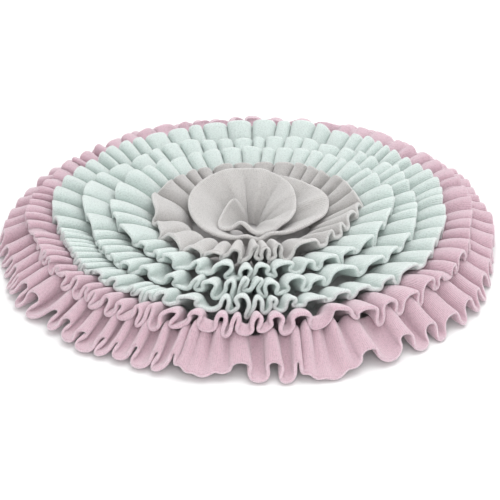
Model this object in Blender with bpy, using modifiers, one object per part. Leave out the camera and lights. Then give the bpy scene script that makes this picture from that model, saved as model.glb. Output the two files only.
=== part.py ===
"""A round snuffle mat: gathered fleece ruffles sewn in rings on a base cloth, with a rosette in the middle.

Metres, +Z up. The origin is the centre of the base's underside, on the floor that the mat lies on.
"""

import math
import random

import bmesh
import bpy

# Driving dimensions
CLOTH = 0.0030  # thickness of the fleece that every strip is cut from
SEAM_GAP = 0.0003  # between a strip's sewn edge and the base cloth
BASE_RADIUS = 0.159
BASE_THICKNESS = 0.003
BASE_SIDES = 72
SEAM_RISE = 0.45  # of the cloth's thickness: from a sewn edge's underside to its middle, as it leans
SEAM_HEIGHT = BASE_THICKNESS + SEAM_GAP + SEAM_RISE * CLOTH

# Each ruffle is a strip gathered along its inner edge, which is sewn down at root_radius. It leans
# outwards and ends at edge_radius and edge_height. It leaves the base towards the bend point, which
# lies bend_out past the root at bend_height. The last three columns have a value for each of eight
# places round the ring, from +X anticlockwise: breadth is the folds' relative width, and steepness is
# the angle in degrees at which the free edge crosses its own middle line.
RUFFLES = [
    {"name": "ruffle_pink_outer", "cloth": "pink_fleece", "folds": 66, "seed": 11,
     "root_radius": 0.1560, "bend_out": 0.0160, "bend_height": 0.0135,
     "edge_radius": 0.1895, "edge_height": 0.0080,
     "breadth": (1.0, 1.0, 1.0, 1.2, 1.1, 1.0, 1.0, 1.0),
     "steepness": (65, 80, 80, 75, 65, 80, 92, 85)},
    {"name": "ruffle_pink_inner", "cloth": "pink_fleece", "folds": 60, "seed": 12,
     "root_radius": 0.1360, "bend_out": 0.0120, "bend_height": 0.0165,
     "edge_radius": 0.1670, "edge_height": 0.0225,
     "breadth": (1.0, 1.0, 1.0, 1.0, 1.0, 1.0, 1.0, 1.0),
     "steepness": (60, 75, 85, 85, 75, 90, 100, 95)},
    {"name": "ruffle_mint_outer", "cloth": "mint_fleece", "folds": 50, "seed": 13,
     "root_radius": 0.1160, "bend_out": 0.0120, "bend_height": 0.0170,
     "edge_radius": 0.1460, "edge_height": 0.0290,
     "breadth": (0.8, 0.8, 1.2, 1.1, 1.2, 1.2, 0.9, 0.9),
     "steepness": (40, 40, 85, 85, 65, 80, 100, 90)},
    {"name": "ruffle_mint_middle", "cloth": "mint_fleece", "folds": 45, "seed": 14,
     "root_radius": 0.0930, "bend_out": 0.0120, "bend_height": 0.0170,
     "edge_radius": 0.1230, "edge_height": 0.0300,
     "breadth": (1.1, 1.0, 1.0, 1.0, 1.2, 1.4, 0.8, 1.0),
     "steepness": (75, 80, 90, 90, 80, 80, 104, 90)},
    {"name": "ruffle_mint_inner", "cloth": "mint_fleece", "folds": 37, "seed": 15,
     "root_radius": 0.0700, "bend_out": 0.0120, "bend_height": 0.0170,
     "edge_radius": 0.1000, "edge_height": 0.0305,
     "breadth": (1.1, 1.0, 1.0, 1.0, 1.2, 1.4, 0.8, 1.0),
     "steepness": (80, 85, 90, 90, 85, 80, 100, 90)},
    {"name": "ruffle_grey", "cloth": "grey_fleece", "folds": 26, "seed": 16,
     "root_radius": 0.0490, "bend_out": 0.0120, "bend_height": 0.0170,
     "edge_radius": 0.0790, "edge_height": 0.0305,
     "breadth": (1.0, 1.0, 1.0, 1.8, 1.2, 1.3, 0.9, 1.2),
     "steepness": (80, 80, 75, 60, 80, 60, 95, 75)},
]
LOBE_CORNERS = (0.32, 0.68)  # where the solid's corners lie along each half fold
RUFFLE_ROWS = 2
FLOOR_GAP = 0.0003  # under the lowest folds of the outermost ruffle
MOST_WAVE = 0.0080  # the farthest that a fold swings to either side of its ruffle's middle
WAVE_LIMIT_POWER = 6  # how sharply deeper folds are held to that
ROOT_WAVE = 0.22  # share of the wave that is left at the sewn edge
BREADTH_SPREAD = 0.50  # how far a half fold's width strays from its neighbours', as a share
STEEPNESS_SPREAD = 0.18  # the same for its steepness
LEAST_HALF_FOLD = 0.0050  # the narrowest, at the free edge
MOST_STEEPNESS = 104
MOST_SLANT = 0.30  # how far a half fold's top leans to one side, as a share of its height
SEAM_EVENNESS = 0.4  # how far the folds' uneven widths even out at the seam
SEAM_HOLD = 1.5  # above 1, a fold keeps its place over the seam for longer on the way out
# share of each fold's width that its upper half takes, at the same eight places
UPPER_SHARE = (0.58, 0.62, 0.62, 0.62, 0.58, 0.46, 0.40, 0.46)
UPPER_FLATNESS = 1.5  # above 1 flattens the tops of the upper half folds
ARC_STEPS = 24  # for adding up a half fold's length

# The rosette's strip: a row for each section along its spiral. turn is the angle in degrees, counted
# anticlockwise from +X; root and rim are radii, and height is the rim's height.
ROSETTE = [
    {"turn": -212, "root": 0.0030, "rim": 0.0100, "height": 0.0290},
    {"turn": -188, "root": 0.0036, "rim": 0.0140, "height": 0.0320},
    {"turn": -160, "root": 0.0043, "rim": 0.0200, "height": 0.0270},
    {"turn": -133, "root": 0.0050, "rim": 0.0275, "height": 0.0235},
    {"turn": -118, "root": 0.0054, "rim": 0.0250, "height": 0.0265},
    {"turn": -103, "root": 0.0059, "rim": 0.0240, "height": 0.0280},
    {"turn": -88, "root": 0.0064, "rim": 0.0275, "height": 0.0250},
    {"turn": -72, "root": 0.0069, "rim": 0.0320, "height": 0.0235},
    {"turn": -50, "root": 0.0076, "rim": 0.0345, "height": 0.0245},
    {"turn": -20, "root": 0.0086, "rim": 0.0350, "height": 0.0275},
    {"turn": 11, "root": 0.0097, "rim": 0.0365, "height": 0.0305},
    {"turn": 50, "root": 0.0111, "rim": 0.0415, "height": 0.0340},
    {"turn": 94, "root": 0.0127, "rim": 0.0455, "height": 0.0360},
    {"turn": 140, "root": 0.0145, "rim": 0.0475, "height": 0.0340},
    {"turn": 181, "root": 0.0162, "rim": 0.0475, "height": 0.0295},
    {"turn": 210, "root": 0.0175, "rim": 0.0455, "height": 0.0240},
    {"turn": 229, "root": 0.0184, "rim": 0.0430, "height": 0.0215},
    {"turn": 250, "root": 0.0194, "rim": 0.0385, "height": 0.0210},
    {"turn": 266, "root": 0.0202, "rim": 0.0365, "height": 0.0215},
    {"turn": 280, "root": 0.0209, "rim": 0.0385, "height": 0.0190},
    {"turn": 295, "root": 0.0216, "rim": 0.0385, "height": 0.0230},
    {"turn": 311, "root": 0.0223, "rim": 0.0430, "height": 0.0225},
    {"turn": 335, "root": 0.0234, "rim": 0.0510, "height": 0.0245},
    {"turn": 364, "root": 0.0248, "rim": 0.0610, "height": 0.0260},
    {"turn": 380, "root": 0.0256, "rim": 0.0600, "height": 0.0285},
    {"turn": 400, "root": 0.0266, "rim": 0.0550, "height": 0.0290},
    {"turn": 430, "root": 0.0280, "rim": 0.0540, "height": 0.0270},
    {"turn": 470, "root": 0.0300, "rim": 0.0550, "height": 0.0255},
]
ROSETTE_COLUMNS = 76
ROSETTE_ROWS = 4
ROSETTE_BEND_OUT = 0.10  # how far the strip leans out at its bend, as a share of the way to the rim
ROSETTE_BEND_RISE = 0.55  # and how far it has risen there

# colour, roughness
CLOTHS = {
    "base_felt": ((0.62, 0.61, 0.60), 0.95),
    "pink_fleece": ((0.66, 0.46, 0.52), 0.95),
    "mint_fleece": ((0.62, 0.75, 0.71), 0.95),
    "grey_fleece": ((0.60, 0.58, 0.57), 0.95),
}


def clear_scene():
    for thing in list(bpy.data.objects):
        bpy.data.objects.remove(thing)


def cloth_material(name):
    colour, roughness = CLOTHS[name]
    material = bpy.data.materials.new(name)
    material.use_nodes = True
    shader = material.node_tree.nodes["Principled BSDF"]
    shader.inputs["Base Color"].default_value = (*colour, 1)
    shader.inputs["Roughness"].default_value = roughness
    shader.inputs["Metallic"].default_value = 0
    return material


def smooth_curve(values, position):
    """The value at a position along evenly spaced values, on a smooth curve through all of them."""
    last = len(values) - 1
    index = min(int(position), last - 1)
    t = position - index
    before, start, end, after = (values[min(max(index + k, 0), last)] for k in (-1, 0, 1, 2))
    return 0.5 * (
        2 * start
        + (end - before) * t
        + (2 * before - 5 * start + 4 * end - after) * t**2
        + (3 * start - before - 3 * end + after) * t**3
    )


def smooth_ring(values, position):
    """The same on values that close on themselves."""
    count = len(values)
    index = math.floor(position)
    around = [values[(index + k) % count] for k in (-1, 0, 1, 2)]
    return smooth_curve(around, 1 + position - index)


def bent_profile(root, bend, edge, share):
    """(radius, height, normal) at a share of the way from root to edge, on a curve bent towards bend."""
    rest = 1 - share
    point = [rest**2 * a + 2 * rest * share * b + share**2 * c for a, b, c in zip(root, bend, edge)]
    along = [2 * rest * (b - a) + 2 * share * (c - b) for a, b, c in zip(root, bend, edge)]
    length = math.hypot(*along)
    return point[0], point[1], (-along[1] / length, along[0] / length)


def cloth_strip(name, cloth, columns, rows, place, closed):
    """A strip of cloth as one solid. place(along, across) gives a point of its middle surface."""
    shape = bmesh.new()
    bmesh.ops.create_grid(shape, x_segments=columns, y_segments=rows, size=1)
    for vertex in shape.verts:
        vertex.co = place((vertex.co.x + 1) / 2, (vertex.co.y + 1) / 2)
    if closed:
        bmesh.ops.remove_doubles(shape, verts=shape.verts, dist=1e-6)
    mesh = bpy.data.meshes.new(name)
    shape.to_mesh(mesh)
    shape.free()
    mesh.shade_smooth()
    mesh.materials.append(cloth)
    strip = bpy.data.objects.new(name, mesh)
    thick = strip.modifiers.new("thickness", "SOLIDIFY")
    thick.thickness = CLOTH
    thick.offset = 0
    thick.use_even_offset = True
    return strip


def half_fold(sign, start, end, width, flatness):
    """Points of a half fold as (along, swing), evenly spaced along the cloth. It leaves the middle line at
    the angle start, and comes back to it at the angle end."""
    points = [(0.0, 0.0)]
    for step in range(ARC_STEPS):
        turn = math.cos(math.pi * (step + 0.5) / ARC_STEPS)
        heading = start * max(turn, 0) ** flatness - end * max(-turn, 0) ** flatness
        along, swing = points[-1]
        points.append((along + math.cos(heading), swing + math.sin(heading)))
    length, drift = points[-1]
    scale = width / length
    level = [(along * scale, scale * (swing - drift * along / length)) for along, swing in points]
    top = max(swing for _, swing in level)
    squash = sign / (1 + (top / MOST_WAVE) ** WAVE_LIMIT_POWER) ** (1 / WAVE_LIMIT_POWER)
    return [(along, swing * squash) for along, swing in level]


def running_total(widths):
    """Where each width starts, and the last one ends, as a share of them all."""
    starts = [0.0]
    for width in widths:
        starts.append(starts[-1] + width / sum(widths))
    return starts


def fold_columns(spec):
    """(share of the ring at the seam, the same at the free edge, swing) for each column of corners."""
    dice = random.Random(spec["seed"])
    lobes = 2 * spec["folds"]
    around = 2 * math.pi * spec["edge_radius"]
    even_widths, widths, angles, slants = [], [], [], []
    for lobe in range(lobes):
        place = len(UPPER_SHARE) * lobe / lobes
        share = smooth_ring(UPPER_SHARE, place)
        even = smooth_ring(spec["breadth"], place) * around / lobes
        own = even * 2 * (share if lobe % 2 == 0 else 1 - share)
        even_widths.append(even)
        widths.append(max(own * dice.uniform(1 - BREADTH_SPREAD, 1 + BREADTH_SPREAD), LEAST_HALF_FOLD))
        steepness = smooth_ring(spec["steepness"], place)
        steepness *= dice.uniform(1 - STEEPNESS_SPREAD, 1 + STEEPNESS_SPREAD)
        angles.append(math.radians(min(steepness, MOST_STEEPNESS)))
        slants.append(dice.uniform(-MOST_SLANT, MOST_SLANT))
    edges = running_total(widths)
    evens = running_total(even_widths)
    seams = [SEAM_EVENNESS * even + (1 - SEAM_EVENNESS) * own for even, own in zip(evens, edges)]
    columns = []
    for lobe in range(lobes):
        flatness = UPPER_FLATNESS if lobe % 2 == 0 else 1
        width = (edges[lobe + 1] - edges[lobe]) * around
        arc = half_fold((-1) ** lobe, angles[lobe], angles[(lobe + 1) % lobes], width, flatness)
        for corner in LOBE_CORNERS:
            index = corner * ARC_STEPS
            before, after = arc[int(index)], arc[int(index) + 1]
            along, swing = (a + (b - a) * (index % 1) for a, b in zip(before, after))
            seam = seams[lobe] + corner * (seams[lobe + 1] - seams[lobe])
            columns.append((seam, edges[lobe] + (along + slants[lobe] * abs(swing)) / around, swing))
    return columns


def ruffle(spec, cloth):
    """A gathered strip sewn down in a ring. Its folds grow from the seam to the free edge."""
    columns = fold_columns(spec)
    bend = (spec["root_radius"] + spec["bend_out"], spec["bend_height"])
    edge = (spec["edge_radius"], spec["edge_height"])
    root = (spec["root_radius"], SEAM_HEIGHT)
    lowest = CLOTH / 2 + FLOOR_GAP

    def place(along, across):
        at_seam, at_edge, swing = columns[round(along * len(columns)) % len(columns)]
        angle = 2 * math.pi * (at_seam + (at_edge - at_seam) * across**SEAM_HOLD)
        radius, z, normal = bent_profile(root, bend, edge, across)
        off = swing * (ROOT_WAVE + (1 - ROOT_WAVE) * across)
        radius += off * normal[0]
        z = max(z + off * normal[1], lowest) if across > 0 else root[1]
        return radius * math.cos(angle), radius * math.sin(angle), z

    return cloth_strip(spec["name"], cloth, len(columns), RUFFLE_ROWS, place, closed=True)


def rosette(cloth):
    """One strip wound in a spiral: a cup, then a wider petal round it."""
    turns = [row["turn"] for row in ROSETTE]

    def section(turn):
        index = max(k for k in range(len(turns) - 1) if turns[k] <= turn + 1e-9)
        position = index + (turn - turns[index]) / (turns[index + 1] - turns[index])
        return [smooth_curve([row[key] for row in ROSETTE], position) for key in ("root", "rim", "height")]

    def place(along, across):
        turn = turns[0] + along * (turns[-1] - turns[0])
        root_radius, rim, height = section(turn)
        bend = (root_radius + ROSETTE_BEND_OUT * (rim - root_radius), height * ROSETTE_BEND_RISE)
        edge = (rim, height)
        radius, z, _ = bent_profile((root_radius, SEAM_HEIGHT), bend, edge, across)
        angle = math.radians(turn)
        return radius * math.cos(angle), radius * math.sin(angle), z

    return cloth_strip("rosette_strip", cloth, ROSETTE_COLUMNS, ROSETTE_ROWS, place, closed=False)


def base_cloth(cloth):
    bpy.ops.mesh.primitive_cylinder_add(
        vertices=BASE_SIDES, radius=BASE_RADIUS, depth=BASE_THICKNESS, location=(0, 0, BASE_THICKNESS / 2)
    )
    base = bpy.context.object
    base.name = "base_cloth"
    base.data.materials.append(cloth)
    return base


def main():
    clear_scene()
    mat = bpy.data.collections.new("snuffle_mat")
    bpy.context.scene.collection.children.link(mat)
    cloths = {name: cloth_material(name) for name in CLOTHS}
    base = base_cloth(cloths["base_felt"])
    for holder in base.users_collection:
        holder.objects.unlink(base)
    mat.objects.link(base)
    for spec in RUFFLES:
        mat.objects.link(ruffle(spec, cloths[spec["cloth"]]))
    mat.objects.link(rosette(cloths["grey_fleece"]))


main()
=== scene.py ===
"""A round snuffle mat: rings of gathered fleece sewn on a felt disc, and a rosette in the middle."""

import math
import random

import bmesh
import bpy
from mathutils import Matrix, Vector
from mathutils.bvhtree import BVHTree


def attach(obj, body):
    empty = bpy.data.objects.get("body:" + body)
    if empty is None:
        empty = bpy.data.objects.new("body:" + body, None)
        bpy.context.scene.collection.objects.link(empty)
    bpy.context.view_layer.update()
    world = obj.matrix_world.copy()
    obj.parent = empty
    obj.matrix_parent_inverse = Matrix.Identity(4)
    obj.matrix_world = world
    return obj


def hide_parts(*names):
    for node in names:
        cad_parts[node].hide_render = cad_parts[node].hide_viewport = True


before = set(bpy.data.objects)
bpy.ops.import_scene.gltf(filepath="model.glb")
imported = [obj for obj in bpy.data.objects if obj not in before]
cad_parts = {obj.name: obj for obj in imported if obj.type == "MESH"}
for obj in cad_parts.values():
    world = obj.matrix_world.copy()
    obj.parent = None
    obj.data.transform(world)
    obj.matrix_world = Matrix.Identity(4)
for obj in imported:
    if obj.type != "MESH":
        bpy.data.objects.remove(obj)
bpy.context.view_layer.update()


# The base: a disc of pressed grey felt that every ruffle and the rosette are sewn down to. It lies
# flat on the floor, and only its underside and bits between the folds show.
FELT_COLOUR = (0.84, 0.82, 0.82, 1)
FELT_SHADE = (0.74, 0.72, 0.72, 1)  # between its fibres
FELT_SURFACE = {"Roughness": 1.0, "Specular IOR Level": 0.15}
FELT_FIBRES = {"Scale": 900, "Detail": 6, "Distortion": 1.5}
FELT_RELIEF = {"Strength": 0.5, "Distance": 0.0004}
FELT_SHADE_UNTIL, FELT_COLOUR_FROM = 0.3, 0.7  # values of the fibres' noise


def set_inputs(node, values):
    """Give a node's sockets these values."""
    for socket, value in values.items():
        node.inputs[socket].default_value = value
    return node


felt = bpy.data.materials.new("base_felt")
felt.use_nodes = True
felt_nodes, felt_links = felt.node_tree.nodes, felt.node_tree.links
felt_shader = set_inputs(felt_nodes["Principled BSDF"], FELT_SURFACE)
felt_place = felt_nodes.new("ShaderNodeTexCoord")
felt_fibres = set_inputs(felt_nodes.new("ShaderNodeTexNoise"), FELT_FIBRES)
felt_relief = set_inputs(felt_nodes.new("ShaderNodeBump"), FELT_RELIEF)
felt_shades = felt_nodes.new("ShaderNodeValToRGB")
felt_shades.color_ramp.elements[0].position = FELT_SHADE_UNTIL
felt_shades.color_ramp.elements[0].color = FELT_SHADE
felt_shades.color_ramp.elements[1].position = FELT_COLOUR_FROM
felt_shades.color_ramp.elements[1].color = FELT_COLOUR
felt_links.new(felt_place.outputs["Object"], felt_fibres.inputs["Vector"])
felt_links.new(felt_fibres.outputs["Fac"], felt_shades.inputs["Fac"])
felt_links.new(felt_fibres.outputs["Fac"], felt_relief.inputs["Height"])
felt_links.new(felt_shades.outputs["Color"], felt_shader.inputs["Base Color"])
felt_links.new(felt_relief.outputs["Normal"], felt_shader.inputs["Normal"])

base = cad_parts["base_cloth"]
base.data.materials.clear()
base.data.materials.append(felt)


# The six ruffles: straight strips of 3 mm brushed knit fleece, cut raw on both long sides, gathered
# along one side and sewn down to the base in rings. Each leans outwards on the next, and its free
# edge stands in loops and folds.
CLOTH = 0.0030
SEAM_HEIGHT = 0.00465
# A row for each ruffle, from the outermost in. It rises from its seam at root_radius and then lays
# itself over outwards. root_waves are the shares of its folds' swing, up and down, that are left at the
# seam. rises, radii, heights, drops and flares have a value each for the right, the back right, the
# back and so on round to the front right:
#   rises    how high the cloth is drawn as it leaves the seam
#   radii    how far out the free edge is
#   heights  how high the free edge is
#   drops    how far the edge has dropped from where the cloth levels out, lay_length inside the edge
#   flares   how many degrees inwards the folds lean at the edge
# The folds run anticlockwise from +X in stretches of like folds: where the stretch ends in degrees, how
# many folds it has, the share of a fold's width that its upper half takes, the angle in degrees at
# which the edge crosses its own middle line, and how far it swings to either side of that line.
RUFFLES = [
    {"name": "ruffle_pink_outer", "cloth": "pink_fleece", "seed": 11, "root_radius": 0.1560,
     "lay_length": 0.0235, "root_waves": (0.42, 0.15),
     "rises": (0.0300, 0.0300, 0.0300, 0.0300, 0.0300, 0.0300, 0.0350, 0.0380),
     "radii": (0.1860, 0.1900, 0.1860, 0.1845, 0.1880, 0.1890, 0.1885, 0.1945),
     "heights": (0.0080, 0.0075, 0.0070, 0.0065, 0.0080, 0.0075, 0.0072, 0.0070),
     "drops": (0.0040, 0.0020, 0.0010, 0.0020, 0.0040, 0.0030, 0.0008, 0.0020),
     "flares": (15, 15, 0, 15, 30, 60, 52, 45),
     "stretches": (
         (30, 7, 0.68, 84, 0.0058), (150, 20, 0.62, 80, 0.0050), (180, 5, 0.64, 82, 0.0072),
         (200, 4, 0.56, 88, 0.0074), (225, 5, 0.46, 98, 0.0080), (253, 6, 0.38, 106, 0.0074),
         (266, 1, 0.11, 98, 0.0078), (279, 2, 0.48, 104, 0.0068), (293, 1, 0.13, 98, 0.0082),
         (315, 3, 0.42, 98, 0.0072), (360, 8, 0.67, 86, 0.0064))},
    {"name": "ruffle_pink_inner", "cloth": "pink_fleece", "seed": 12, "root_radius": 0.1360,
     "lay_length": 0.0090, "root_waves": (0.62, 0.45),
     "rises": (0.0170, 0.0170, 0.0170, 0.0170, 0.0170, 0.0180, 0.0205, 0.0225),
     "radii": (0.1700, 0.1660, 0.1620, 0.1620, 0.1680, 0.1690, 0.1650, 0.1705),
     "heights": (0.0210, 0.0195, 0.0155, 0.0185, 0.0210, 0.0225, 0.0270, 0.0230),
     "drops": (0.0010, -0.0010, -0.0030, -0.0010, 0.0010, -0.0040, -0.0040, -0.0015),
     "flares": (5, 0, 0, 0, 5, 10, 10, 10),
     "stretches": (
         (40, 7, 0.64, 72, 0.0066), (140, 17, 0.60, 82, 0.0046), (170, 6, 0.64, 80, 0.0062),
         (205, 9, 0.56, 92, 0.0062), (228, 6, 0.42, 110, 0.0074), (248, 5, 0.36, 114, 0.0076),
         (262, 2, 0.38, 108, 0.0070), (275, 3, 0.40, 116, 0.0075), (290, 2, 0.44, 104, 0.0075),
         (330, 7, 0.62, 94, 0.0070), (360, 5, 0.62, 84, 0.0080))},
    {"name": "ruffle_mint_outer", "cloth": "mint_fleece", "seed": 13, "root_radius": 0.1160,
     "lay_length": 0.0090, "root_waves": (0.48, 0.42),
     "rises": (0.0190, 0.0190, 0.0190, 0.0190, 0.0190, 0.0215, 0.0225, 0.0235),
     "radii": (0.1500, 0.1450, 0.1410, 0.1420, 0.1490, 0.1480, 0.1445, 0.1520),
     "heights": (0.0275, 0.0280, 0.0285, 0.0275, 0.0265, 0.0250, 0.0275, 0.0262),
     "drops": (0.0010, -0.0020, -0.0045, -0.0020, 0.0000, -0.0030, -0.0040, -0.0020),
     "flares": (0, 0, 0, 0, 5, 10, 5, 0),
     "stretches": (
         (45, 9, 0.60, 50, 0.0040), (135, 13, 0.78, 88, 0.0044), (165, 5, 0.70, 85, 0.0070),
         (195, 4, 0.75, 70, 0.0070), (222, 9, 0.46, 98, 0.0044), (235, 2, 0.36, 98, 0.0065),
         (243, 3, 0.50, 90, 0.0045), (262, 2, 0.44, 100, 0.0070), (280, 4, 0.50, 104, 0.0073),
         (300, 3, 0.64, 98, 0.0060), (325, 3, 0.72, 88, 0.0054), (360, 5, 0.66, 80, 0.0058))},
    {"name": "ruffle_mint_middle", "cloth": "mint_fleece", "seed": 14, "root_radius": 0.0930,
     "lay_length": 0.0090, "root_waves": (0.48, 0.42),
     "rises": (0.0190, 0.0190, 0.0190, 0.0190, 0.0190, 0.0215, 0.0225, 0.0235),
     "radii": (0.1280, 0.1220, 0.1180, 0.1190, 0.1260, 0.1230, 0.1220, 0.1260),
     "heights": (0.0290, 0.0265, 0.0240, 0.0250, 0.0275, 0.0245, 0.0280, 0.0285),
     "drops": (0.0010, -0.0020, -0.0045, -0.0020, 0.0010, -0.0010, -0.0040, -0.0020),
     "flares": (0,) * 8,
     "stretches": (
         (45, 7, 0.64, 70, 0.0065), (135, 12, 0.78, 88, 0.0044), (165, 3, 0.78, 88, 0.0074),
         (200, 3, 0.80, 85, 0.0070), (222, 4, 0.46, 98, 0.0050), (250, 3, 0.36, 100, 0.0060),
         (262, 2, 0.55, 112, 0.0078), (275, 3, 0.50, 106, 0.0078), (290, 2, 0.55, 112, 0.0078),
         (330, 4, 0.74, 88, 0.0055), (360, 4, 0.68, 80, 0.0058))},
    {"name": "ruffle_mint_inner", "cloth": "mint_fleece", "seed": 15, "root_radius": 0.0700,
     "lay_length": 0.0090, "root_waves": (0.48, 0.42),
     "rises": (0.0190, 0.0190, 0.0190, 0.0190, 0.0190, 0.0215, 0.0225, 0.0235),
     "radii": (0.1070, 0.1000, 0.0960, 0.0970, 0.1030, 0.1010, 0.1010, 0.1050),
     "heights": (0.0300, 0.0275, 0.0250, 0.0260, 0.0285, 0.0250, 0.0280, 0.0290),
     "drops": (0.0010, -0.0020, -0.0045, -0.0020, 0.0010, -0.0010, -0.0040, -0.0020),
     "flares": (0,) * 8,
     "stretches": (
         (45, 5, 0.66, 75, 0.0075), (135, 10, 0.78, 88, 0.0044), (165, 3, 0.74, 86, 0.0074),
         (215, 4, 0.70, 80, 0.0064), (255, 4, 0.40, 98, 0.0058), (266, 1, 0.62, 108, 0.0078),
         (280, 2, 0.50, 110, 0.0078), (292, 1, 0.60, 104, 0.0078), (330, 4, 0.72, 88, 0.0055),
         (360, 3, 0.68, 80, 0.0060))},
    {"name": "ruffle_grey", "cloth": "grey_fleece", "seed": 16, "root_radius": 0.0490,
     "lay_length": 0.0090, "root_waves": (0.60, 0.45),
     "rises": (0.0120, 0.0140, 0.0160, 0.0180, 0.0260, 0.0340, 0.0350, 0.0210),
     "radii": (0.0850, 0.0790, 0.0740, 0.0740, 0.0780, 0.0790, 0.0820, 0.0840),
     "heights": (0.0280, 0.0260, 0.0235, 0.0245, 0.0270, 0.0255, 0.0270, 0.0275),
     "drops": (-0.0060,) * 8,
     "flares": (0,) * 8,
     "stretches": (
         (45, 4, 0.68, 75, 0.0075), (135, 8, 0.76, 88, 0.0050), (200, 3, 0.80, 72, 0.0080),
         (258, 4, 0.76, 70, 0.0045), (270, 1, 0.60, 90, 0.0085), (283, 2, 0.55, 108, 0.0095),
         (294, 1, 0.45, 112, 0.0105), (315, 1, 0.70, 88, 0.0085), (360, 4, 0.64, 78, 0.0075))},
]
RISE_OUT = 0.0020  # how far the cloth leans out as it leaves the seam
STRIP_WIDTH = 0.036  # from the sewn edge to the free edge
HALF_FOLD_COLUMNS = 8
RUFFLE_ROWS = 8
EDGE_CLOSENESS = 1.6  # above 1 draws the rows together towards the free edge
ARC_STEPS = 24  # for adding up a half fold's length
JOINED = 1e-6  # points closer than this are one point, where a ring of cloth closes

# How the folds of a stretch stray from each other, as shares
STRETCH_SEEDS = 1000  # a stretch's seed is this times its ruffle's, plus the degrees where it ends
WAVE_SPREAD = 0.20  # of a half fold's swing
BREADTH_SPREAD = 0.45  # of its width
STEEPNESS_SPREAD = 0.10  # of its steepness
LEAST_SLANT, MOST_SLANT = -0.1, 0.5  # how far its top leans anticlockwise, as a share of its swing
LEAST_HALF_FOLD = 0.0042
MOST_STEEPNESS = 101  # in degrees, of a crossing beside the narrowest half fold
WIDTH_STEEPNESS = 3500  # and how many degrees more it may be for each metre that they are wider
LOW_STEEPNESS = 30  # a wide lower half fold is rounder: the angle that it may have at its ends is this
LOW_ROUNDNESS = 125  # and this times its swing over its width
WIDE_FLATNESS = 6  # how much an upper half fold flattens as it takes more than half of its fold
SEAM_EVENNESS = 0.4  # how far the folds' uneven widths even out at the seam
SEAM_HOLD = 1.5  # above 1, a fold keeps its place over the seam for longer on the way out

# A lower half fold wider than this has pleats running up it, which die out near the free edge
PLEATED_FOLD = 0.024
PLEATS = ((0.19, 0.0135), (0.42, 0.0100), (0.73, 0.0140))  # shares of its width, and their heights
PLEAT_BREADTH = 0.085
PLEAT_FADE = 0.80  # the share of their height that is gone at the edge
PLEAT_RISE = 3  # they have their full height at a third of the way out

# The free edge is drawn in or out, and up or down, by up to these at so many places round it
WANDER_SEEDS = 100  # added to its ruffle's seed
WANDER_PLACES = 31
WANDER_OUT = 0.0030
WANDER_UP = 0.0015

# Each ruffle is lifted off the one outside it, or the floor, wherever its cloth would sink in
CLOTH_ROOM = 0.0038  # between the middles of two cloths that touch
FLOOR_GAP = 0.0003
HELD_ROWS = 2  # at the seam, which aren't lifted
REST_STEPS = 6
REST_REACH = 0.012  # how deep or high the cloth is looked for
REST_EASING = 2  # how often the lifts are evened out in each step
EASING_SHARE = 0.5
LEAST_FACING = 0.6  # of the cloth below towards the fold that rests on it
LEAST_UPRIGHT = 0.3  # the same of a fold's upper side towards straight up, over the floor

# The fleeces: colour, colour of the cut edge, and how far light carries inside. The cut edge's colour
# is painted lighter: a painted highlight for the light that its fuzz catches.
FLEECES = {
    "pink_fleece": ((0.590, 0.420, 0.478, 1), (0.655, 0.500, 0.555, 1), 0.0020),
    "mint_fleece": ((0.562, 0.644, 0.616, 1), (0.620, 0.694, 0.668, 1), 0.008),
    "grey_fleece": ((0.485, 0.471, 0.461, 1), (0.560, 0.546, 0.536, 1), 0.004),
}
FLEECE_SURFACE = {
    "Roughness": 0.95, "Specular IOR Level": 0.15, "Sheen Weight": 0.45, "Sheen Roughness": 0.6,
    "Subsurface Weight": 0.8, "Subsurface Radius": (1, 1, 1),
}
WALE_PITCH = 0.0011  # from one line of knit stitches to the next
WALE_SCALE = math.pi / 10 / WALE_PITCH  # a wave of scale 1 repeats every pi / 10
WALES = {"Scale": WALE_SCALE, "Distortion": 1.2, "Detail": 2, "Detail Scale": 1.5}
PILE = {"Scale": 1700, "Detail": 5, "Roughness": 0.65}
TUFTS = {"Scale": 900, "Detail": 3}
PILE_SHARE = 0.7  # how much the pile counts beside the tufts
WALE_SHADE, WALE_RELIEF = 0.16, 0.5  # and how much the wales do, in the colour and in the relief
DARK_TONE, LIGHT_TONE = (0.62, 0.86), (1.0, 1.13)  # value of the three together, colour's strength
PILE_RELIEF = {"Strength": 0.8, "Distance": 0.0005}


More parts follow.
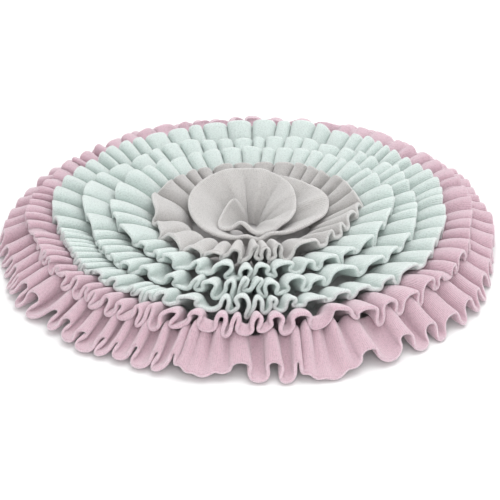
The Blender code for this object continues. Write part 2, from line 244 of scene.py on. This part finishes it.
def fleece_material(name, colour, glow):
    """Knit fleece with its pile brushed up: lines of stitches across the strip, under a soft fuzz."""
    material = bpy.data.materials.new(name)
    material.use_nodes = True
    nodes, links = material.node_tree.nodes, material.node_tree.links
    shader = set_inputs(nodes["Principled BSDF"], {**FLEECE_SURFACE, "Subsurface Scale": glow})

    def weighed_sum(value, share, rest):
        total = nodes.new("ShaderNodeMath")
        total.operation = "MULTIPLY_ADD"
        total.inputs[1].default_value = share
        links.new(value, total.inputs[0])
        links.new(rest, total.inputs[2])
        return total.outputs["Value"]

    on_cloth = nodes.new("ShaderNodeUVMap")
    on_cloth.uv_map = "cloth"
    in_space = nodes.new("ShaderNodeTexCoord")
    wales = set_inputs(nodes.new("ShaderNodeTexWave"), WALES)
    wales.wave_type = "BANDS"
    wales.bands_direction = "X"
    pile = set_inputs(nodes.new("ShaderNodeTexNoise"), PILE)
    tufts = set_inputs(nodes.new("ShaderNodeTexNoise"), TUFTS)
    links.new(on_cloth.outputs["UV"], wales.inputs["Vector"])
    links.new(in_space.outputs["Object"], pile.inputs["Vector"])
    links.new(in_space.outputs["Object"], tufts.inputs["Vector"])

    fuzz = weighed_sum(pile.outputs["Fac"], PILE_SHARE, tufts.outputs["Fac"])
    tones = nodes.new("ShaderNodeValToRGB")
    for element, (value, strength) in zip(tones.color_ramp.elements, (DARK_TONE, LIGHT_TONE)):
        element.position = value
        element.color = tuple(min(strength * part, 1) for part in colour[:3]) + (1,)
    links.new(weighed_sum(wales.outputs["Fac"], WALE_SHADE, fuzz), tones.inputs["Fac"])
    links.new(tones.outputs["Color"], shader.inputs["Base Color"])

    bump = set_inputs(nodes.new("ShaderNodeBump"), PILE_RELIEF)
    links.new(weighed_sum(wales.outputs["Fac"], WALE_RELIEF, fuzz), bump.inputs["Height"])
    links.new(bump.outputs["Normal"], shader.inputs["Normal"])
    return material


# each fleece's second material, for its cut edge, is painted lighter: a painted highlight
fleeces = {
    name: (fleece_material(name, body, glow), fleece_material(name + "_cut_edge_painted_highlight", edge, glow))
    for name, (body, edge, glow) in FLEECES.items()
}


def smooth_curve(values, position):
    """The value at a position along evenly spaced values, on a smooth curve through all of them."""
    last = len(values) - 1
    index = min(int(position), last - 1)
    t = position - index
    before, start, end, after = (values[min(max(index + k, 0), last)] for k in (-1, 0, 1, 2))
    return 0.5 * (
        2 * start
        + (end - before) * t
        + (2 * before - 5 * start + 4 * end - after) * t**2
        + (3 * start - before - 3 * end + after) * t**3
    )


def smooth_ring(values, position):
    """The same on values that close on themselves."""
    count = len(values)
    index = math.floor(position)
    around = [values[(index + k) % count] for k in (-1, 0, 1, 2)]
    return smooth_curve(around, 1 + position - index)


def bent_profile(root, rise, lay, edge, share):
    """(radius, height, normal) at a share of the way from root to edge, on a curve drawn towards rise
    and then lay."""
    rest = 1 - share
    point = [
        rest**3 * a + 3 * rest**2 * share * b + 3 * rest * share**2 * c + share**3 * d
        for a, b, c, d in zip(root, rise, lay, edge)
    ]
    along = [
        rest**2 * (b - a) + 2 * rest * share * (c - b) + share**2 * (d - c)
        for a, b, c, d in zip(root, rise, lay, edge)
    ]
    length = math.hypot(*along)
    return point[0], point[1], (-along[1] / length, along[0] / length)


def cloth_strip(name, cloth, columns, rows, place, closed):
    """A strip of cloth. place(along, across) gives a point of its middle surface and of the flat cut."""
    shape = bmesh.new()
    flat = shape.loops.layers.uv.new("cloth")
    bmesh.ops.create_grid(shape, x_segments=columns, y_segments=rows, size=1)
    for face in shape.faces:
        for corner in face.loops:
            spot = corner.vert.co
            corner[flat].uv = place((spot.x + 1) / 2, (spot.y + 1) / 2)[1]
    for vertex in shape.verts:
        vertex.co = place((vertex.co.x + 1) / 2, (vertex.co.y + 1) / 2)[0]
    if closed:
        bmesh.ops.remove_doubles(shape, verts=shape.verts, dist=JOINED)
    mesh = bpy.data.meshes.new(name)
    shape.to_mesh(mesh)
    shape.free()
    mesh.shade_smooth()
    for material in fleeces[cloth]:
        mesh.materials.append(material)
    strip = bpy.data.objects.new(name, mesh)
    bpy.context.scene.collection.objects.link(strip)
    thick = strip.modifiers.new("thickness", "SOLIDIFY")
    thick.thickness = CLOTH
    thick.offset = 0
    # the rim takes the cut edge's material, whose lighter colour is a painted highlight
    thick.material_offset_rim = 1  # the cut edge
    soft = strip.modifiers.new("softness", "SUBSURF")
    soft.levels = 1
    soft.render_levels = 1
    return strip


def half_fold(start, end, width, wave, flatness):
    """Points of a half fold as (along, swing), evenly spaced along the cloth, and the cloth's length.
    It leaves the middle line at about the angle start, and comes back at about the angle end."""
    points = [(0.0, 0.0)]
    for step in range(ARC_STEPS):
        turn = math.cos(math.pi * (step + 0.5) / ARC_STEPS)
        heading = start * max(turn, 0) ** flatness - end * max(-turn, 0) ** flatness
        along, swing = points[-1]
        points.append((along + math.cos(heading), swing + math.sin(heading)))
    length, drift = points[-1]
    level = [(along * width / length, swing - drift * along / length) for along, swing in points]
    top = max(swing for _, swing in level)
    arc = [(along, swing * wave / top) for along, swing in level]
    return arc, sum(math.dist(a, b) for a, b in zip(arc, arc[1:]))


def fold_columns(spec):
    """A row for each column of a ruffle's mesh: its share of the ring at the seam and at the free edge,
    its swing, how far its pleat stands up, and the cloth used so far. Then the cloth used in all."""
    around = 2 * math.pi * sum(spec["radii"]) / len(spec["radii"])
    edges, widths, crossings, flatnesses, waves, slants = [0.0], [], [], [], [], []
    start = 0
    for end, folds, upper, steepness, swing in spec["stretches"]:
        dice = random.Random(STRETCH_SEEDS * spec["seed"] + end)
        stretch = (end - start) / 360
        shares = [share for _ in range(folds) for share in (upper, 1 - upper)]
        wanted = [share * dice.uniform(1 - BREADTH_SPREAD, 1 + BREADTH_SPREAD) for share in shares]
        least = LEAST_HALF_FOLD / around / stretch
        wanted = [max(want / sum(wanted), least) for want in wanted]
        for want, share in zip(wanted, shares):
            width = want / sum(wanted) * stretch
            edges.append(edges[-1] + width)
            widths.append(width * around)
            crossings.append(steepness * dice.uniform(1 - STEEPNESS_SPREAD, 1 + STEEPNESS_SPREAD))
            slants.append(dice.uniform(LEAST_SLANT, MOST_SLANT))
            side = 1 if len(widths) % 2 else -1
            flatnesses.append(1 + WIDE_FLATNESS * max(share - 0.5, 0) * (side > 0))
            waves.append(side * swing * dice.uniform(1 - WAVE_SPREAD, 1 + WAVE_SPREAD))
        start = end
    lobes = len(widths)
    angles = [
        math.radians(min(crossing, MOST_STEEPNESS + WIDTH_STEEPNESS * (min(pair) - LEAST_HALF_FOLD)))
        for crossing, pair in zip(crossings, zip(widths[-1:] + widths, widths))
    ]
    middles = [
        (edges[lobe] + edges[min(lobe + 2, lobes)] + edges[max(lobe - 2, 0)]) / 3
        for lobe in range(lobes + 1)
    ]
    seams = [SEAM_EVENNESS * middle + (1 - SEAM_EVENNESS) * own for middle, own in zip(middles, edges)]
    columns = []
    cloth_used = 0.0
    for lobe in range(lobes):
        most = math.inf if waves[lobe] > 0 else math.radians(
            LOW_STEEPNESS + LOW_ROUNDNESS * abs(waves[lobe]) / widths[lobe]
        )
        ends = min(angles[lobe], most), min(angles[(lobe + 1) % lobes], most)
        pleats = PLEATS if waves[lobe] < 0 and widths[lobe] > PLEATED_FOLD else ()
        arc, length = half_fold(*ends, widths[lobe], waves[lobe], flatnesses[lobe])
        steps = HALF_FOLD_COLUMNS * (2 if pleats else 1)
        for column in range(steps):
            corner = column / steps
            index = corner * ARC_STEPS
            before, after = arc[int(index)], arc[int(index) + 1]
            along, swing = (a + (b - a) * (index % 1) for a, b in zip(before, after))
            seam = seams[lobe] + corner * (seams[lobe + 1] - seams[lobe])
            edge = edges[lobe] + (along + slants[lobe] * swing) / around
            pleat = sum(top * math.exp(-(((corner - at) / PLEAT_BREADTH) ** 2)) for at, top in pleats)
            columns.append((seam, edge, swing, pleat, cloth_used + corner * length))
        cloth_used += length
    return columns, cloth_used


def ruffle_free_shape(spec, columns, shares):
    """Points of a ruffle's middle surface by column and row, before it rests on anything, and the way
    that its upper side faces at each. The rows lie at these shares of the strip's width."""
    root = (spec["root_radius"], SEAM_HEIGHT)
    dice = random.Random(spec["seed"] + WANDER_SEEDS)
    outs, rises = ([dice.uniform(-1, 1) for _ in range(WANDER_PLACES)] for _ in range(2))
    free, ups = [], []
    for at_seam, at_edge, swing, pleat, _ in columns:
        line, line_ups = [], []
        rise, out, height, drop, flare = (
            smooth_ring(spec[key], len(spec[key]) * at_edge)
            for key in ("rises", "radii", "heights", "drops", "flares")
        )
        rise = (spec["root_radius"] + RISE_OUT, rise)
        out += WANDER_OUT * smooth_ring(outs, WANDER_PLACES * at_edge)
        height += WANDER_UP * smooth_ring(rises, WANDER_PLACES * at_edge)
        lay, edge = (out - spec["lay_length"], height + drop), (out, height)
        for across in shares:
            angle = 2 * math.pi * (at_seam + (at_edge - at_seam) * across**SEAM_HOLD)
            radius, z, normal = bent_profile(root, rise, lay, edge, across)
            lean = math.atan2(normal[1], normal[0]) + math.radians(flare) * across
            normal = math.cos(lean), math.sin(lean)
            root_share = spec["root_waves"][swing < 0]
            off = swing * (root_share + (1 - root_share) * across)
            off += pleat * min(PLEAT_RISE * across, 1) * (1 - PLEAT_FADE * across**3)
            outwards = Vector((math.cos(angle), math.sin(angle), 0))
            line.append(outwards * (radius + off * normal[0]) + Vector((0, 0, z + off * normal[1])))
            line_ups.append(outwards * normal[0] + Vector((0, 0, normal[1])))
        free.append(line)
        ups.append(line_ups)
    return free, ups


def rested(free, ups, carrier):
    """The same points, lifted off the floor and the ruffle outside where they would sink into it."""
    count = len(free)
    lifts = [[0.0] * (RUFFLE_ROWS + 1) for _ in free]
    for _ in range(REST_STEPS):
        for c in range(count):
            for r in range(HELD_ROWS, RUFFLE_ROWS + 1):
                up = ups[c][r]
                if carrier:
                    above = free[c][r] + up * REST_REACH
                    top, normal, _, _ = carrier.ray_cast(above, -up, 2 * REST_REACH)
                    if top is not None:
                        room = CLOTH_ROOM / max(abs(normal.dot(up)), LEAST_FACING)
                        lifts[c][r] = max(lifts[c][r], (top - free[c][r]).dot(up) + room)
                short = CLOTH / 2 + FLOOR_GAP - free[c][r].z
                lifts[c][r] = max(lifts[c][r], short / max(up.z, LEAST_UPRIGHT))
        for _ in range(REST_EASING):
            smooth = []
            for c in range(count):
                line = [0.0] * HELD_ROWS
                for r in range(HELD_ROWS, RUFFLE_ROWS + 1):
                    beside = [lifts[(c + k) % count][r] for k in (-2, -1, 1, 2)]
                    beside += [lifts[c][r - 1], lifts[c][min(r + 1, RUFFLE_ROWS)]]
                    eased = sum(beside) / len(beside)
                    line.append((1 - EASING_SHARE) * lifts[c][r] + EASING_SHARE * eased)
                smooth.append(line)
            lifts = smooth
    points = [[spot + up * lift for spot, up, lift in zip(*lines)] for lines in zip(free, ups, lifts)]
    for point in (point for line in points for point in line):
        point.z = max(point.z, CLOTH / 2 + FLOOR_GAP)
    return points


def carrier_of(points):
    """The middle surface of a ruffle, for the next one to rest on. Its faces look up."""
    corners = [point for line in points for point in line]
    rows = len(points[0])
    faces = []
    for c in range(len(points)):
        d = (c + 1) % len(points)
        for r in range(rows - 1):
            faces.append((c * rows + r, c * rows + r + 1, d * rows + r + 1, d * rows + r))
    return BVHTree.FromPolygons(corners, faces)


def ruffle(spec, carrier):
    """A gathered strip sewn down in a ring. Its folds grow from the seam to the free edge."""
    columns, strip_length = fold_columns(spec)
    shares = [1 - (1 - row / RUFFLE_ROWS) ** EDGE_CLOSENESS for row in range(RUFFLE_ROWS + 1)]
    points = rested(*ruffle_free_shape(spec, columns, shares), carrier)
    cloth_used = [column[-1] for column in columns] + [strip_length]

    def place(along, across):
        column = round(along * len(columns))
        row = round(across * RUFFLE_ROWS)
        return points[column % len(columns)][row], (cloth_used[column], shares[row] * STRIP_WIDTH)

    name = spec["name"] + "_cloth"
    strip = cloth_strip(name, spec["cloth"], len(columns), RUFFLE_ROWS, place, closed=True)
    return strip, strip_length, carrier_of(points)


outside, carrier = "base_cloth", None
for spec in RUFFLES:
    strip, strip_length, carrier = ruffle(spec, carrier)
    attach(strip, "root")
    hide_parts(spec["name"])
    outside = strip.name


# The rosette: one more strip of the grey fleece, wound up from its inner end and sewn down along its
# lower edge. It makes a cone in a cup, whose front lip folds down, and then a wide petal round them.
# Each row is a section along the spiral: the turn in degrees, counted anticlockwise from +X, the radii
# of its sewn edge and of its rim, and the rim's height.
ROSETTE = [
    {"turn": -236, "root": 0.0026, "rim": 0.0052, "height": 0.0150},
    {"turn": -224, "root": 0.0028, "rim": 0.0074, "height": 0.0200},
    {"turn": -212, "root": 0.0030, "rim": 0.0098, "height": 0.0255},
    {"turn": -200, "root": 0.0033, "rim": 0.0120, "height": 0.0302},
    {"turn": -188, "root": 0.0036, "rim": 0.0140, "height": 0.0320},
    {"turn": -162, "root": 0.0043, "rim": 0.0215, "height": 0.0262},
    {"turn": -138, "root": 0.0049, "rim": 0.0318, "height": 0.0205},
    {"turn": -122, "root": 0.0053, "rim": 0.0296, "height": 0.0212},
    {"turn": -109, "root": 0.0057, "rim": 0.0258, "height": 0.0262},
    {"turn": -99, "root": 0.0061, "rim": 0.0262, "height": 0.0252},
    {"turn": -88, "root": 0.0064, "rim": 0.0285, "height": 0.0213},
    {"turn": -76, "root": 0.0068, "rim": 0.0320, "height": 0.0200},
    {"turn": -62, "root": 0.0072, "rim": 0.0346, "height": 0.0225},
    {"turn": -38, "root": 0.0080, "rim": 0.0358, "height": 0.0260},
    {"turn": -14, "root": 0.0088, "rim": 0.0352, "height": 0.0282},
    {"turn": 11, "root": 0.0097, "rim": 0.0362, "height": 0.0305},
    {"turn": 50, "root": 0.0111, "rim": 0.0415, "height": 0.0340},
    {"turn": 94, "root": 0.0127, "rim": 0.0455, "height": 0.0360},
    {"turn": 140, "root": 0.0145, "rim": 0.0475, "height": 0.0340},
    {"turn": 181, "root": 0.0162, "rim": 0.0475, "height": 0.0295},
    {"turn": 210, "root": 0.0175, "rim": 0.0455, "height": 0.0240},
    {"turn": 229, "root": 0.0184, "rim": 0.0430, "height": 0.0215},
    {"turn": 250, "root": 0.0196, "rim": 0.0392, "height": 0.0200},
    {"turn": 266, "root": 0.0202, "rim": 0.0365, "height": 0.0215},
    {"turn": 280, "root": 0.0209, "rim": 0.0385, "height": 0.0190},
    {"turn": 295, "root": 0.0216, "rim": 0.0385, "height": 0.0230},
    {"turn": 311, "root": 0.0223, "rim": 0.0430, "height": 0.0225},
    {"turn": 335, "root": 0.0234, "rim": 0.0510, "height": 0.0245},
    {"turn": 364, "root": 0.0248, "rim": 0.0610, "height": 0.0260},
    {"turn": 380, "root": 0.0256, "rim": 0.0600, "height": 0.0285},
    {"turn": 400, "root": 0.0266, "rim": 0.0550, "height": 0.0290},
    {"turn": 430, "root": 0.0280, "rim": 0.0540, "height": 0.0270},
    {"turn": 470, "root": 0.0300, "rim": 0.0550, "height": 0.0255},
]
ROSETTE_COLUMNS = 240
ROSETTE_ROWS = 16
ROSETTE_CLOSENESS = 1.2  # above 1 draws the rows together towards the rim
# Soft creases run up its wall: the turn each is at, how many degrees wide, and how far it stands in.
ROSETTE_CREASES = [
    {"turn": -45, "width": 10, "depth": 0.0026},
    {"turn": -12, "width": 8, "depth": -0.0020},
    {"turn": 22, "width": 9, "depth": 0.0022},
    {"turn": 52, "width": 8, "depth": -0.0022},
    {"turn": 76, "width": 7, "depth": 0.0027},
    {"turn": 96, "width": 6, "depth": -0.0026},
    {"turn": 116, "width": 8, "depth": 0.0020},
    {"turn": 150, "width": 12, "depth": -0.0016},
    {"turn": 352, "width": 7, "depth": -0.0026},
    {"turn": 372, "width": 5, "depth": 0.0034},
    {"turn": 392, "width": 7, "depth": -0.0026},
]
# A crease grows and shrinks along this share of half a sine wave, so some of it is left at the rim.
CREASE_REACH = 0.94
CREASE_FULLNESS = 0.7  # below 1 makes it deeper near its ends
# The strip's section is drawn towards two points on the way from seam to rim, as shares (out, up).
ROSETTE_BENDS = ((0.07, 0.38), (0.40, 0.72))
ROSETTE_FLAT = (0.038, 0.41)
ROUNDING = 1e-9

turns = [row["turn"] for row in ROSETTE]


def rosette_place(along, across):
    """A point of the rosette's middle surface, and the same point on its flat strip."""
    across = 1 - (1 - across) ** ROSETTE_CLOSENESS
    turn = turns[0] + along * (turns[-1] - turns[0])
    index = max(k for k in range(len(turns) - 1) if turns[k] <= turn + ROUNDING)
    position = index + (turn - turns[index]) / (turns[index + 1] - turns[index])
    root_radius, rim, height = (
        smooth_curve([row[key] for row in ROSETTE], position) for key in ("root", "rim", "height")
    )
    rise, lay = (
        (root_radius + out * (rim - root_radius), SEAM_HEIGHT + up * (height - SEAM_HEIGHT))
        for out, up in ROSETTE_BENDS
    )
    root, edge = (root_radius, SEAM_HEIGHT), (rim, height)
    radius, z, (inwards, up) = bent_profile(root, rise, lay, edge, across)
    crease = sum(
        row["depth"] * math.exp(-(((turn - row["turn"]) / row["width"]) ** 2))
        for row in ROSETTE_CREASES
    )
    crease *= math.sin(CREASE_REACH * math.pi * across) ** CREASE_FULLNESS
    radius, z = radius + crease * inwards, z + crease * up
    angle = math.radians(turn)
    flat = (along * ROSETTE_FLAT[1], across * ROSETTE_FLAT[0])
    return (radius * math.cos(angle), radius * math.sin(angle), z), flat


rosette = cloth_strip(
    "rosette_cloth", "grey_fleece", ROSETTE_COLUMNS, ROSETTE_ROWS, rosette_place, closed=False
)
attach(rosette, "root")
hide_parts("rosette_strip")


# The room: a plain pale floor, soft light from above and behind and a little from the front, and a
# camera in front of the mat that looks down on it.
FLOOR_SIZE = 6
FLOOR_DROP = 0.0002  # below the base, so that the two don't share a face
FLOOR_SURFACE = {"Base Color": (0.93, 0.93, 0.93, 1), "Roughness": 0.9}
ROOM_LIGHT = {"Color": (1, 1, 1, 1), "Strength": 0.79}
LAMPS = {
    "ceiling_light": {"at": (0.3, 0.4, 1.2), "watts": 9, "size": 1.0},
    "front_light": {"at": (0.1, -1.2, 0.75), "watts": 4.1, "size": 0.8},
}
CAMERA_DISTANCE = 1.14
CAMERA_TILT = math.radians(30.5)
LENS_LENGTH, SENSOR_WIDTH = 106, 36  # in millimetres
LENS_SHIFT = -0.027

bpy.ops.mesh.primitive_plane_add(size=FLOOR_SIZE, location=(0, 0, -FLOOR_DROP))
floor = bpy.context.object
floor.name = "floor"
floor_paint = bpy.data.materials.new("pale_floor")
floor_paint.use_nodes = True
set_inputs(floor_paint.node_tree.nodes["Principled BSDF"], FLOOR_SURFACE)
floor.data.materials.append(floor_paint)

room = bpy.data.worlds.new("room")
room.use_nodes = True
set_inputs(room.node_tree.nodes["Background"], ROOM_LIGHT)
bpy.context.scene.world = room

for name, lamp in LAMPS.items():
    light = bpy.data.lights.new(name, "AREA")
    light.energy = lamp["watts"]
    light.size = lamp["size"]
    holder = bpy.data.objects.new(name, light)
    holder.location = lamp["at"]
    holder.rotation_euler = (-Vector(lamp["at"])).to_track_quat("-Z", "Y").to_euler()
    bpy.context.scene.collection.objects.link(holder)

lens = bpy.data.cameras.new("camera")
lens.lens = LENS_LENGTH
lens.sensor_width = SENSOR_WIDTH
lens.shift_y = LENS_SHIFT
camera = bpy.data.objects.new("camera", lens)
looking = Vector((0, math.cos(CAMERA_TILT), -math.sin(CAMERA_TILT)))
camera.location = -looking * CAMERA_DISTANCE
camera.rotation_euler = looking.to_track_quat("-Z", "Y").to_euler()
bpy.context.scene.collection.objects.link(camera)
bpy.context.scene.camera = camera
bpy.context.scene.view_settings.view_transform = "Standard"
